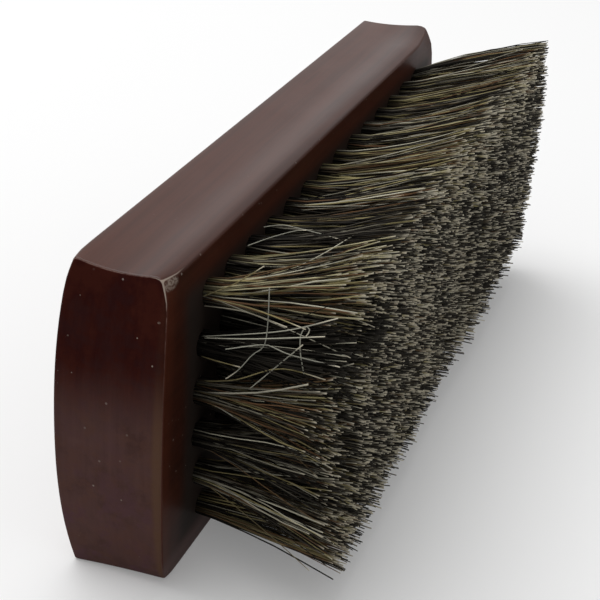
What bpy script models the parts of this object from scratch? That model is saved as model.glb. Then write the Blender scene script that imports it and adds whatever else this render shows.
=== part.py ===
"""Wooden hand brush with hair tufts set in a drilled block.

The brush stands on its lower long side. X runs from the block's back to the hair tips, Y runs
along the block, and Z runs up across its width. The origin is at the middle of the brush's
footprint, on the surface it stands on. All sizes are in metres.
"""
import math
import random

import bmesh
import bpy
from mathutils import Matrix, Vector
from mathutils.geometry import delaunay_2d_cdt

# Block
BLOCK_LENGTH = 0.1285       # along Y, measured at the corners
BLOCK_WIDTH = 0.052         # along Z, from the lower long side to the upper one
BLOCK_THICKNESS = 0.015     # along X, measured at the long sides
BACK_CROWN = 0.0014         # how far the back swells past the long sides' back edges
BACK_POWER = 2.9            # 2 makes the back a parabola, more keeps it full towards the sides
FACE_CROWN = 0.0009         # how far the bristle face swells past the long sides' front edges
END_BOW = 0.0032            # how far each end bows outwards at the middle of its width
COVE_DEPTH = 0.0006         # hollow of the finger cove along each long side
COVE_LAND = 0.0030          # flat left along both edges of a long side, edge rounding included
EDGE_ROUND = 0.0010         # rounding of the block's outer edges
EDGE_ROUND_STEPS = 2        # facets in that rounding
EDGE_ANGLE = math.radians(45)  # corners sharper than this are outer edges
WIDTH_STEPS = 12            # facets across the crown and the bowed ends
COVE_STEPS = 6              # facets across a cove

# Tuft pattern
TUFT_COLUMNS = 14           # cross rows along the block
TUFT_ROWS = 6               # tufts in a cross row
END_MARGIN = 0.0125         # block corner to the middle of the end cross rows' outer tufts
SIDE_MARGIN = 0.0075        # long side to the outer tuft's middle
PATTERN_BOW = 0.0068        # how far the pattern bows outwards along the block's middle line
HOLE_RADIUS = 0.0021        # blind tuft hole
HOLE_DEPTH = 0.0095         # from the bristle face to the hole's bottom
HOLE_SIDES = 8
MERGE_DISTANCE = 1e-7       # corners of a pierced face closer than this count as one

# Hair
HAIR_LENGTH = 0.025         # bristle face to the trimmed tips
SLICE_THICKNESS = 0.0015    # the block's face layer that carries one cross row
STRANDS_ROUND_TUFT = 4      # strands in the ring round a tuft's middle strand
STRAND_RING_RADIUS = 0.00130
STRAND_FOOT_RADIUS = 0.00060
STRAND_TIP_RADIUS = 0.00044
TIP_SPREAD = 2.00           # how much wider a tuft is at its tips than at its mouth
TIP_WANDER = 0.00030        # most that a strand's tip strays from its place
END_FLARE = 0.0070          # how far the outermost cross rows lean out past their holes
SIDE_FLARE = 0.0006         # the same for the tufts along the long sides
UPWARD_SET = 0.0032         # how far all the hair has taken a set towards the upper long side
ROOT_SIDES = 6
ROOT_PINCH = 0.30           # thickness of the folded root at the anchor, as a share of its width

CLEARANCE = 0.0003          # gap between neighbouring solids
STRAND_SIDES = 3
SEED = 11

# Worked out from the sizes above
DEPTH_OVERALL = BACK_CROWN + BLOCK_THICKNESS + HAIR_LENGTH
BACK_X = BACK_CROWN - DEPTH_OVERALL / 2
FACE_X = BACK_X + BLOCK_THICKNESS
TIP_X = FACE_X + HAIR_LENGTH
PITCH_Y = (BLOCK_LENGTH - 2 * END_MARGIN) / (TUFT_COLUMNS - 1)
PITCH_Z = (BLOCK_WIDTH - 2 * SIDE_MARGIN) / (TUFT_ROWS - 1)
SLICE_WIDTH = PITCH_Y - CLEARANCE
SLICE_LENGTH = PITCH_Z * TUFT_ROWS
SEAT_X = FACE_X - SLICE_THICKNESS - CLEARANCE
ROOT_RADIUS = HOLE_RADIUS * math.cos(math.pi / HOLE_SIDES) - CLEARANCE
ROOT_END_X = FACE_X - HOLE_DEPTH + CLEARANCE
REACH_Y = BLOCK_LENGTH / 2 - END_MARGIN     # middle of the pattern to its end cross rows
REACH_Z = BLOCK_WIDTH / 2 - SIDE_MARGIN     # middle of the pattern to its outer tufts

WOOD_COLOUR = (0.040, 0.012, 0.009, 1.0)
WOOD_ROUGHNESS = 0.35
HAIR_COLOUR = (0.190, 0.155, 0.095, 1.0)
HAIR_ROUGHNESS = 0.6


def clear_scene():
    """Remove every object that the file opened with."""
    for item in list(bpy.data.objects):
        bpy.data.objects.remove(item, do_unlink=True)


def make_material(name, colour, roughness):
    """Return a plain Principled material."""
    material = bpy.data.materials.new(name)
    material.use_nodes = True
    shader = material.node_tree.nodes["Principled BSDF"]
    shader.inputs["Base Color"].default_value = colour
    shader.inputs["Roughness"].default_value = roughness
    shader.inputs["Metallic"].default_value = 0.0
    return material


def add_object(name, mesh, material=None):
    """Put a mesh into the scene as a named object."""
    item = bpy.data.objects.new(name, mesh)
    bpy.context.scene.collection.objects.link(item)
    if material is not None:
        mesh.materials.append(material)
    return item


def mesh_from(bm, name):
    """Turn a finished bmesh into a mesh with its faces pointing out."""
    bmesh.ops.recalc_face_normals(bm, faces=bm.faces)
    mesh = bpy.data.meshes.new(name)
    bm.to_mesh(mesh)
    bm.free()
    return mesh


def add_cutter(name, mesh):
    """Add a guide object that only cuts others."""
    cutter = add_object(name, mesh)
    cutter.display_type = 'WIRE'
    cutter.hide_render = True
    return cutter


def cut(item, cutter):
    """Subtract a cutter from an object."""
    modifier = item.modifiers.new(cutter.name, 'BOOLEAN')
    modifier.operation = 'DIFFERENCE'
    modifier.solver = 'EXACT'
    modifier.object = cutter


def swell(share, power=2.0):
    """Return an arch that is 0 at both ends of 0..1 and 1 in the middle."""
    return 1 - abs(2 * share - 1) ** power


def cove_profile():
    """Return (x, hollow) pairs across a long side, from the back edge to the bristle face."""
    start = BACK_X + COVE_LAND
    end = FACE_X - COVE_LAND
    profile = [(BACK_X, 0.0)]
    for step in range(COVE_STEPS + 1):
        share = step / COVE_STEPS
        profile.append((start + (end - start) * share, COVE_DEPTH * swell(share)))
    profile.append((FACE_X, 0.0))
    return profile


def block_point(x, hollow, end_sign, width_share):
    """Return the block's surface point for one place on its section and one end."""
    depth_share = (FACE_X - x) / BLOCK_THICKNESS
    back_swell = BACK_CROWN * swell(width_share, BACK_POWER) * depth_share
    face_swell = FACE_CROWN * swell(width_share) * (1 - depth_share)
    return Vector((
        x - back_swell + face_swell,
        end_sign * (BLOCK_LENGTH / 2 + END_BOW * swell(width_share)),
        hollow + width_share * (BLOCK_WIDTH - 2 * hollow),
    ))


def build_block_body():
    """Return the undrilled block: a net of points on each end, joined along the length."""
    bm = bmesh.new()
    profile = cove_profile()
    ends = []
    for end_sign in (-1, 1):
        net = []
        for x, hollow in profile:
            line = [bm.verts.new(block_point(x, hollow, end_sign, step / WIDTH_STEPS))
                    for step in range(WIDTH_STEPS + 1)]
            net.append(line)
        for row in range(len(net) - 1):
            for step in range(WIDTH_STEPS):
                bm.faces.new((net[row][step], net[row][step + 1],
                              net[row + 1][step + 1], net[row + 1][step]))
        rim = [line[0] for line in net]
        rim += net[-1][1:]
        rim += [line[-1] for line in reversed(net[:-1])]
        rim += list(reversed(net[0][1:-1]))
        ends.append(rim)
    near, far = ends
    for index in range(len(near)):
        after = (index + 1) % len(near)
        bm.faces.new((near[index], near[after], far[after], far[index]))
    bmesh.ops.recalc_face_normals(bm, faces=bm.faces)
    sharp = [edge for edge in bm.edges if edge.calc_face_angle(0.0) > EDGE_ANGLE]
    bmesh.ops.bevel(bm, geom=sharp, offset=EDGE_ROUND, segments=EDGE_ROUND_STEPS, profile=0.5,
                    affect='EDGES', clamp_overlap=True)
    return mesh_from(bm, "block")


def column_y(column):
    """Return the middle of a cross row along the block."""
    return column * PITCH_Y - REACH_Y


def row_z(row):
    """Return the middle of a tuft across the block."""
    return SIDE_MARGIN + row * PITCH_Z


def on_pattern(y, z):
    """Return a point of the straight pattern after it is bowed out towards the block's ends."""
    past_outer_rows = swell(z / BLOCK_WIDTH) - swell(SIDE_MARGIN / BLOCK_WIDTH)
    return Vector((y * (1 + PATTERN_BOW * past_outer_rows / REACH_Y), z))


def tuft_middle(column, row):
    """Return a tuft's middle in Y and Z."""
    return on_pattern(column_y(column), row_z(row))


def pattern_strip(middle_y, half_width, half_length):
    """Return the outline in Y and Z of a strip across the pattern, with corners at each row."""
    heights = [BLOCK_WIDTH / 2 + half_length * (2 * step / TUFT_ROWS - 1)
               for step in range(TUFT_ROWS + 1)]
    up = [on_pattern(middle_y + half_width, z) for z in heights]
    down = [on_pattern(middle_y - half_width, z) for z in reversed(heights)]
    return up + down


def face_x(z):
    """Return the bristle face's X at one height."""
    return FACE_X + FACE_CROWN * swell(z / BLOCK_WIDTH)


def build_seat_cutter():
    """Return the shallow seat in the bristle face that the slices lie in."""
    bm = bmesh.new()
    outline = pattern_strip(0.0, (TUFT_COLUMNS * PITCH_Y + CLEARANCE) / 2,
                            SLICE_LENGTH / 2 + CLEARANCE)
    floor = [bm.verts.new((SEAT_X, point.x, point.y)) for point in outline]
    bm.faces.new(floor)
    grow(bm, floor, FACE_X + FACE_CROWN + SLICE_THICKNESS, outline)
    return mesh_from(bm, "seat_cutter")


def build_hole_cutter():
    """Return one drill body for each blind tuft hole, from inside the seat downwards."""
    bm = bmesh.new()
    top_x = FACE_X - SLICE_THICKNESS / 2
    bottom_x = FACE_X - HOLE_DEPTH
    along_x = Matrix.Rotation(math.pi / 2, 4, 'Y')
    for column in range(TUFT_COLUMNS):
        for row in range(TUFT_ROWS):
            middle = Vector(((top_x + bottom_x) / 2, *tuft_middle(column, row)))
            bmesh.ops.create_cone(
                bm, cap_ends=True, segments=HOLE_SIDES, radius1=HOLE_RADIUS, radius2=HOLE_RADIUS,
                depth=top_x - bottom_x, matrix=Matrix.Translation(middle) @ along_x)
    return mesh_from(bm, "hole_cutter")


def build_block(material):
    """Return the drilled block."""
    block = add_object("block", build_block_body(), material)
    cut(block, add_cutter("seat_cutter", build_seat_cutter()))
    cut(block, add_cutter("hole_cutter", build_hole_cutter()))
    return block


def flare(offset, reach, amount):
    """Return how far a tip leans out, growing with the square of its place from the middle."""
    share = offset / reach
    return amount * share * abs(share)


def strand_places(column, row, chance):
    """Return (foot, tip, turn) for each strand of one tuft, in Y and Z."""
    middle = tuft_middle(column, row)
    turn = chance.uniform(0, 2 * math.pi)
    feet = [Vector((0.0, 0.0))]
    for index in range(STRANDS_ROUND_TUFT):
        angle = turn + 2 * math.pi * index / STRANDS_ROUND_TUFT
        feet.append(Vector((math.cos(angle), math.sin(angle))) * STRAND_RING_RADIUS)
    lean = Vector((flare(middle.x, REACH_Y, END_FLARE),
                   flare(middle.y - BLOCK_WIDTH / 2, REACH_Z, SIDE_FLARE) + UPWARD_SET))
    places = []
    for foot in feet:
        stray = Vector((chance.uniform(-1, 1), chance.uniform(-1, 1))) * TIP_WANDER
        tip = middle + lean + foot * TIP_SPREAD + stray
        places.append((middle + foot, tip, chance.uniform(0, 2 * math.pi)))
    return places


def ring(middle, radius, sides, turn=0.0, squash=1.0):
    """Return the corners of a polygon in Y and Z, thinned along Z by squash."""
    corners = []
    for index in range(sides):
        angle = turn + 2 * math.pi * index / sides
        corners.append(Vector((middle.x + radius * math.cos(angle),
                               middle.y + radius * math.sin(angle) * squash)))
    return corners


def pierced_sheet(bm, x_at, outline, holes):
    """Fill an outline around holes, with X as a function of Z; return the corners of both."""
    points = list(outline)
    loops = [list(range(len(outline)))]
    for hole in holes:
        loops.append(list(range(len(points), len(points) + len(hole))))
        points.extend(hole)
    placed, _, triangles, origins, _, parents = delaunay_2d_cdt(
        points, [], loops, 1, MERGE_DISTANCE)
    corners = [None] * len(points)
    made = []
    for spot, source in zip(placed, origins):
        vert = bm.verts.new((x_at(spot.y), spot.x, spot.y))
        made.append(vert)
        for index in source:
            corners[index] = vert
    for triangle, inside in zip(triangles, parents):
        if len(inside) == 1:
            bm.faces.new([made[index] for index in triangle])
    return [[corners[index] for index in loop] for loop in loops]


def bridge(bm, first, second):
    """Join two rings of as many corners by a wall of quads."""
    for index in range(len(first)):
        after = (index + 1) % len(first)
        bm.faces.new((first[index], first[after], second[after], second[index]))


def grow(bm, foot_ring, end_x, end_corners):
    """Grow a closed finger from a ring of corners in a sheet to a polygon at another X."""
    end_ring = [bm.verts.new((end_x, corner.x, corner.y)) for corner in end_corners]
    bridge(bm, foot_ring, end_ring)
    bm.faces.new(end_ring)


def build_tuft_row(column, material):
    """Return one cross row: six tufts, their folded roots and the slice that they stand in."""
    chance = random.Random(SEED + column)
    bm = bmesh.new()
    outline = pattern_strip(column_y(column), SLICE_WIDTH / 2, SLICE_LENGTH / 2)

    strands = []
    for row in range(TUFT_ROWS):
        strands.extend(strand_places(column, row, chance))
    feet = [ring(foot, STRAND_FOOT_RADIUS, STRAND_SIDES, turn) for foot, _, turn in strands]
    face_loops = pierced_sheet(bm, face_x, outline, feet)
    for loop, (_, tip, turn) in zip(face_loops[1:], strands):
        grow(bm, loop, TIP_X, ring(tip, STRAND_TIP_RADIUS, STRAND_SIDES, turn))

    middles = [tuft_middle(column, row) for row in range(TUFT_ROWS)]
    mouths = [ring(middle, ROOT_RADIUS, ROOT_SIDES) for middle in middles]
    seat_loops = pierced_sheet(bm, lambda z: FACE_X - SLICE_THICKNESS, outline, mouths)
    for loop, middle in zip(seat_loops[1:], middles):
        grow(bm, loop, ROOT_END_X, ring(middle, ROOT_RADIUS, ROOT_SIDES, squash=ROOT_PINCH))

    bridge(bm, face_loops[0], seat_loops[0])
    name = f"tuft_row_{column + 1:02d}"
    return add_object(name, mesh_from(bm, name), material)


def main():
    """Build the brush."""
    clear_scene()
    wood = make_material("lacquered_wood", WOOD_COLOUR, WOOD_ROUGHNESS)
    hair = make_material("mixed_hair", HAIR_COLOUR, HAIR_ROUGHNESS)
    build_block(wood)
    for column in range(TUFT_COLUMNS):
        build_tuft_row(column, hair)


main()
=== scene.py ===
"""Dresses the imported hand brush: a lacquered, crowned wooden block and its field of natural hair.

The row frame is the CAD's: X runs from the block's back to the hair tips, Y along the block away
from the camera, Z up across its width. The brush stands on its lower long side at Z = 0. All
sizes are in metres, and all colours are linear.
"""
from __future__ import annotations

import logging
import math
from dataclasses import dataclass, field
from enum import Enum
from typing import Any, NamedTuple, Sequence

import bmesh
import bpy
import numpy as np
from mathutils import Matrix, Vector


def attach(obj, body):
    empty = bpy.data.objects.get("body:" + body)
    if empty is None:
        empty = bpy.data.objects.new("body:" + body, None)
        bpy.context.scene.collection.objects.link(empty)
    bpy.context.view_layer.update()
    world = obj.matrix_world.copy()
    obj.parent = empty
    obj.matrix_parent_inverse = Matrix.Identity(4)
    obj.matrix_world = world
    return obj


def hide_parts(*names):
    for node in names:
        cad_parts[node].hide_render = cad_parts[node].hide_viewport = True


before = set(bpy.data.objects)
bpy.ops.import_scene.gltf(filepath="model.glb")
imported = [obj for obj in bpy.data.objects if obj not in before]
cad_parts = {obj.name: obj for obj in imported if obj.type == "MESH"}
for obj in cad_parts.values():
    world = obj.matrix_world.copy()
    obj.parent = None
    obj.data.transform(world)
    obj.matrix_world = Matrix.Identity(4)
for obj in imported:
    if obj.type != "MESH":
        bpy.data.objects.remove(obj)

LOG = logging.getLogger("hand_brush")
TONE_ROWS = 64  # tones that hair comes in, by pairs: the even ones are straw, the odd ones grey
FLOAT = "NodeSocketFloat"
ORIGIN = (0.0, 0.0, 0.0)

Socket = bpy.types.NodeSocket
Triple = tuple[float, float, float]
Stops = Sequence[tuple[float, Triple]]


class Shade(Enum):
    """How light the hair of one tuft is, as a shift of its tones."""

    STRAW = 0.15
    TAN = 0.07
    MIXED = 0.0
    DUSKY = -0.08
    DARK = -0.16
    BLACK = -0.50


class Draw(Enum):
    """What a hair's random draws are for, with the number that tells each from the others."""

    JITTER = 1
    WANDER = 2
    TONE = 3
    TRIM = 4
    WAVE = 5
    WHITE = 6
    GIRTH = 7
    BROWN = 8
    BROWN_TONE = 9
    GREY = 10


class Fade(NamedTuple):
    """A soft step: a reading that goes from start to end gives a value from low to high."""

    start: float | Socket
    end: float | Socket
    low: float = 0.0
    high: float = 1.0


class Noise(NamedTuple):
    """The look of one noise, and where in it the object's origin lies."""

    scale: float | Socket
    detail: float = 2.0
    roughness: float = 0.5
    start: Triple = ORIGIN


def swell(share: float, power: float = 2.0) -> float:
    """Return an arch that is 0 at both ends of 0..1 and 1 in the middle.

    Args:
        share: place along the arch.
        power: 2 is a parabola, more is fuller towards the ends.

    Returns:
        The height of the arch.
    """
    return 1.0 - abs(2.0 * share - 1.0) ** power


def clamp(value: float, low: float = 0.0, high: float = 1.0) -> float:
    """Return value, kept between low and high."""
    return max(low, min(high, value))


def nearness(distance: float, reach: float) -> float:
    """Return 1 at no distance, and evenly less up to reach."""
    return clamp(1 - distance / reach)


def socket_kind(value: Any) -> str:
    """Return the kind of socket that holds a value.

    Args:
        value: a number, a tuple of three numbers or a material.

    Returns:
        Blender's name for the kind.
    """
    kinds = {float: FLOAT, int: "NodeSocketInt", tuple: "NodeSocketVector",
             bpy.types.Material: "NodeSocketMaterial"}
    return next(kind for held, kind in kinds.items() if isinstance(value, held))


class Tree:
    """Adds nodes to one node tree and joins them."""

    MIX_COLOURS = (6, 7)  # numbers of a Mix node's two colour inputs
    MIX_RESULT = 2  # number of its colour output

    def __init__(self, tree: bpy.types.NodeTree) -> None:
        """Take the tree to fill; what it holds already is cleared."""
        self.tree = tree
        tree.nodes.clear()

    def add(self, kind: str, inputs: dict[int | str, Any] | None = None,
            **settings: Any) -> bpy.types.Node:
        """Add a node, set its options, then fill its inputs.

        Args:
            kind: the node's Blender type.
            inputs: value or socket for each input, by its name or number.
            settings: the node's own options.

        Returns:
            The new node.
        """
        node = self.tree.nodes.new(kind)
        for name, value in settings.items():
            setattr(node, name, value)
        for key, value in (inputs or {}).items():
            socket = self.socket(node.inputs, key)
            if isinstance(value, Socket):
                self.tree.links.new(value, socket)
            else:
                socket.default_value = value
        return node

    @staticmethod
    def socket(sockets: Any, key: int | str) -> Socket:
        """Return one of a node's sockets.

        Args:
            sockets: its inputs or its outputs.
            key: the socket's number, or its name, which is looked for among those in use.

        Returns:
            The socket.
        """
        if isinstance(key, int):
            return sockets[key]
        return next(item for item in sockets if item.name == key and item.enabled)

    def out(self, node: bpy.types.Node, key: int | str) -> Socket:
        """Return one of a node's outputs."""
        return self.socket(node.outputs, key)

    def group(self, effect: bpy.types.NodeTree, inputs: dict[int | str, Any]) -> Any:
        """Return the outputs of a shared shader effect."""
        return self.add("ShaderNodeGroup", inputs, node_tree=effect).outputs

    def math(self, operation: str, *values: Any, limit: bool = False) -> Socket:
        """Return the result of a Math node, kept within 0..1 if it has a limit."""
        return self.add("ShaderNodeMath", dict(enumerate(values)), operation=operation,
                        use_clamp=limit).outputs[0]

    def chain(self, operation: str, *values: Any, limit: bool = False) -> Socket:
        """Return one Math operation carried through values, from the first to the last.

        Args:
            operation: an operation of the Math node that takes two values.
            values: two or more numbers or sockets.
            limit: whether the result is kept within 0..1.

        Returns:
            The result.
        """
        *before, last = values
        first = self.chain(operation, *before) if len(before) > 1 else before[0]
        return self.math(operation, first, last, limit=limit)

    def product(self, *values: Any, limit: bool = False) -> Socket:
        """Return all values multiplied, kept within 0..1 if there is a limit."""
        return self.chain("MULTIPLY", *values, limit=limit)

    def between(self, share: Any, first: Any, second: Any) -> Socket:
        """Return the number that lies a share of the way from one number to another."""
        return self.math("MULTIPLY_ADD", share, self.math("SUBTRACT", second, first), first)

    def vector(self, operation: str, *values: Any) -> Socket:
        """Return the vector result of a Vector Math node."""
        return self.add("ShaderNodeVectorMath", dict(enumerate(values)),
                        operation=operation).outputs[0]

    def scaled(self, value: Any, factor: Any) -> Socket:
        """Return a vector times a number."""
        return self.add("ShaderNodeVectorMath", {"Vector": value, "Scale": factor},
                        operation="SCALE").outputs[0]

    def parts(self, value: Any) -> list[Socket]:
        """Return the three numbers of a vector."""
        return list(self.add("ShaderNodeSeparateXYZ", {0: value}).outputs)

    def joined(self, x: Any, y: Any, z: Any) -> Socket:
        """Return the vector of three numbers."""
        return self.add("ShaderNodeCombineXYZ", {0: x, 1: y, 2: z}).outputs[0]

    def noise(self, place: Any, look: Noise, output: int | str = 0) -> Socket:
        """Return a noise read at a place.

        Args:
            place: where it is read.
            look: the noise's look.
            output: which of the node's outputs is wanted.

        Returns:
            That output.
        """
        if look.start != ORIGIN:
            place = self.vector("ADD", place, look.start)
        node = self.add("ShaderNodeTexNoise", {
            "Vector": place, "Scale": look.scale, "Detail": look.detail,
            "Roughness": look.roughness})
        return self.out(node, output)

    def faded(self, value: Any, fade: Fade) -> Socket:
        """Return what a soft step makes of a reading.

        Args:
            value: the reading.
            fade: the step.

        Returns:
            The step's value there.
        """
        node = self.add("ShaderNodeMapRange", {
            "Value": value, "From Min": fade.start, "From Max": fade.end, "To Min": fade.low,
            "To Max": fade.high}, interpolation_type="SMOOTHSTEP")
        return self.out(node, "Result")

    def mixed(self, factor: Any, first: Any, second: Any) -> Socket:
        """Return two colours mixed.

        Args:
            factor: share of the second colour.
            first: one colour, as a socket or three numbers.
            second: the other colour, given likewise.

        Returns:
            The mixture.
        """
        inputs = {0: factor}
        for key, colour in zip(self.MIX_COLOURS, (first, second)):
            inputs[key] = colour if isinstance(colour, Socket) else (*colour, 1.0)
        return self.add("ShaderNodeMix", inputs, data_type="RGBA").outputs[self.MIX_RESULT]

    def ramp(self, factor: Any, stops: Stops) -> Socket:
        """Return a colour read from a colour ramp.

        Args:
            factor: where on the ramp it is read.
            stops: place and colour of each stop, two or more.

        Returns:
            The colour.
        """
        node = self.add("ShaderNodeValToRGB", {0: factor})
        elements = node.color_ramp.elements
        for index, (place, colour) in enumerate(stops):
            element = elements[index] if index < 2 else elements.new(place)
            element.position = place
            element.color = (*colour, 1.0)
        return node.outputs[0]

    def surface(self, inputs: dict[int | str, Any]) -> None:
        """End a material in a Principled surface."""
        shader = self.add("ShaderNodeBsdfPrincipled", inputs)
        self.add("ShaderNodeOutputMaterial", {"Surface": shader.outputs[0]})


def new_material(name: str) -> tuple[bpy.types.Material, Tree]:
    """Start a material.

    Args:
        name: the material's name.

    Returns:
        The material and its emptied tree.
    """
    material = bpy.data.materials.new(name)
    material.use_nodes = True
    return material, Tree(material.node_tree)


def start_group(name: str, inputs: dict[str, Any]) -> tuple[Tree, Any]:
    """Start a shader node group.

    Args:
        name: the group's name.
        inputs: the default of each input.

    Returns:
        The group's tree, and its inputs to read.
    """
    group = bpy.data.node_groups.new(name, "ShaderNodeTree")
    for label, value in inputs.items():
        made = group.interface.new_socket(label, in_out="INPUT", socket_type=socket_kind(value))
        made.default_value = value
    tree = Tree(group)
    return tree, tree.add("NodeGroupInput").outputs


def end_group(tree: Tree, outputs: dict[str, Socket]) -> bpy.types.NodeTree:
    """End a shader node group.

    Args:
        tree: the group's tree.
        outputs: the number that each output gives.

    Returns:
        The node group.
    """
    for label in outputs:
        tree.tree.interface.new_socket(label, in_out="OUTPUT", socket_type=FLOAT)
    tree.add("NodeGroupOutput", outputs)
    return tree.tree


def build_edge_wear() -> bpy.types.NodeTree:
    """Build the group that masks the edges, where the normal turns from one face to the next, with
    worn patches that also carry a painted highlight.

    Returns:
        The node group, with outputs Turn, for the whole edge, and Mask, for its worn and
        highlighted patches.
    """
    patches = Fade(0.36, 0.60)
    tree, given = start_group("edge_wear_and_highlight", {
        "Place": ORIGIN, "Normal": (0.0, 0.0, 1.0), "Start": 0.20, "Full": 0.29,
        "Break Up": 700.0})
    most = tree.chain("MAXIMUM", *tree.parts(tree.vector("ABSOLUTE", given["Normal"])))
    turn = tree.faded(tree.math("SUBTRACT", 1.0, most), Fade(given["Start"], given["Full"]))
    broken = tree.noise(given["Place"], Noise(given["Break Up"], 3.0))
    mask = tree.product(turn, tree.faded(broken, patches))
    return end_group(tree, {"Turn": turn, "Mask": mask})


def build_dust() -> bpy.types.NodeTree:
    """Build the group that scatters small specks over a surface.

    Returns:
        The node group, with output Mask.
    """
    tree, given = start_group("dust_specks", {
        "Place": ORIGIN, "Scale": 900.0, "Share": 0.09, "Size": 0.17})
    cells = tree.add("ShaderNodeTexVoronoi", {
        "Vector": given["Place"], "Scale": given["Scale"]}).outputs
    chance, brightness, _ = tree.parts(cells["Color"])
    chosen = tree.math("LESS_THAN", chance, given["Share"])
    inside = tree.math("LESS_THAN", cells["Distance"], given["Size"])
    return end_group(tree, {"Mask": tree.product(chosen, inside, brightness)})


def build_grain() -> bpy.types.NodeTree:
    """Build the group for wood grain that runs along Y.

    Returns:
        The node group, with outputs Tone and Pore.
    """
    broad_look, fine_detail, fine_roughness = Noise(130.0, 3.0, 0.55), 3.0, 0.6
    fine_share, pores = 0.38, Fade(0.60, 0.76)
    tree, given = start_group("wood_grain", {
        "Place": ORIGIN, "Fineness": 900.0, "Stretch": 0.035})
    drawn = tree.vector("MULTIPLY", given["Place"], tree.joined(1.0, given["Stretch"], 1.0))
    broad = tree.noise(drawn, broad_look)
    fine = tree.noise(drawn, Noise(given["Fineness"], fine_detail, fine_roughness))
    tone = tree.math("ADD", tree.product(broad, 1.0 - fine_share), tree.product(fine, fine_share))
    return end_group(tree, {"Tone": tone, "Pore": tree.faded(fine, pores)})


@dataclass(frozen=True)
class SharedEffects:
    """The node groups that finishes are made with."""

    edge_wear_and_highlight: bpy.types.NodeTree = field(default_factory=build_edge_wear)
    dust: bpy.types.NodeTree = field(default_factory=build_dust)
    grain: bpy.types.NodeTree = field(default_factory=build_grain)


@dataclass(frozen=True)
class BlockShape:
    """Sizes and curves that the block and the tufts share."""

    length: float = 0.1285
    width: float = 0.052
    thickness: float = 0.015
    back_x: float = -0.0193
    back_crown: float = 0.0014
    back_power: float = 2.9
    face_crown: float = 0.0009
    end_bow: float = 0.0032
    tip_x: float = 0.0207

    @property
    def face_x(self) -> float:
        """X of the bristle face at the long sides."""
        return self.back_x + self.thickness

    def crowned_face_x(self, z: float) -> float:
        """Return the bristle face's X at one height."""
        return self.face_x + self.face_crown * swell(z / self.width)


@dataclass(frozen=True)
class TuftPattern:
    """Where the tufts stand in the bristle face."""

    shape: BlockShape
    columns: int = 14
    rows: int = 6
    end_margin: float = 0.0125
    side_margin: float = 0.0075
    bow: float = 0.0068

    @property
    def reach_y(self) -> float:
        """Distance from the middle to the end columns' outer tufts."""
        return self.shape.length / 2 - self.end_margin

    @property
    def reach_z(self) -> float:
        """Distance from the middle to the outer rows."""
        return self.shape.width / 2 - self.side_margin

    def along(self, column: int) -> float:
        """Return a column's place along the block, from -1 at the near end to 1."""
        return 2 * column / (self.columns - 1) - 1

    def mouth(self, column: int, row: int) -> Vector:
        """Return the middle of a tuft's mouth on the bristle face.

        Args:
            column: the tuft's cross row, from the near end.
            row: its place in the cross row, from the bottom.

        Returns:
            The point.
        """
        z = self.shape.width / 2 + self.reach_z * (2 * row / (self.rows - 1) - 1)
        rise = swell(z / self.shape.width) - swell(self.side_margin / self.shape.width)
        y = self.reach_y * self.along(column) * (1 + self.bow * rise / self.reach_y)
        return Vector((self.shape.crowned_face_x(z), y, z))


@dataclass(frozen=True)
class Chip:
    """One small pale knock in the lacquer, which at the near corner is also a painted highlight:
    its middle, its radius and how much of that is full.
    """

    SQUASH = (1.0, 0.5, 1.0)  # a chip wraps round the end's edge, so its Y counts half

    x: float
    y: float
    z: float
    radius: float
    full: float = 0.6

    def mask(self, tree: Tree, place: Socket) -> Socket:
        """Return 1 inside the chip and less towards its radius.

        Args:
            tree: the material's tree.
            place: the place on the block.

        Returns:
            The mask.
        """
        middle = tuple(a * b for a, b in zip((self.x, self.y, self.z), self.SQUASH))
        away = tree.add("ShaderNodeVectorMath", {
            0: tree.vector("MULTIPLY", place, self.SQUASH), 1: middle}, operation="DISTANCE")
        fade = Fade(self.radius * self.full, self.radius, 1.0, 0.0)
        return tree.faded(tree.out(away, "Value"), fade)


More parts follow.
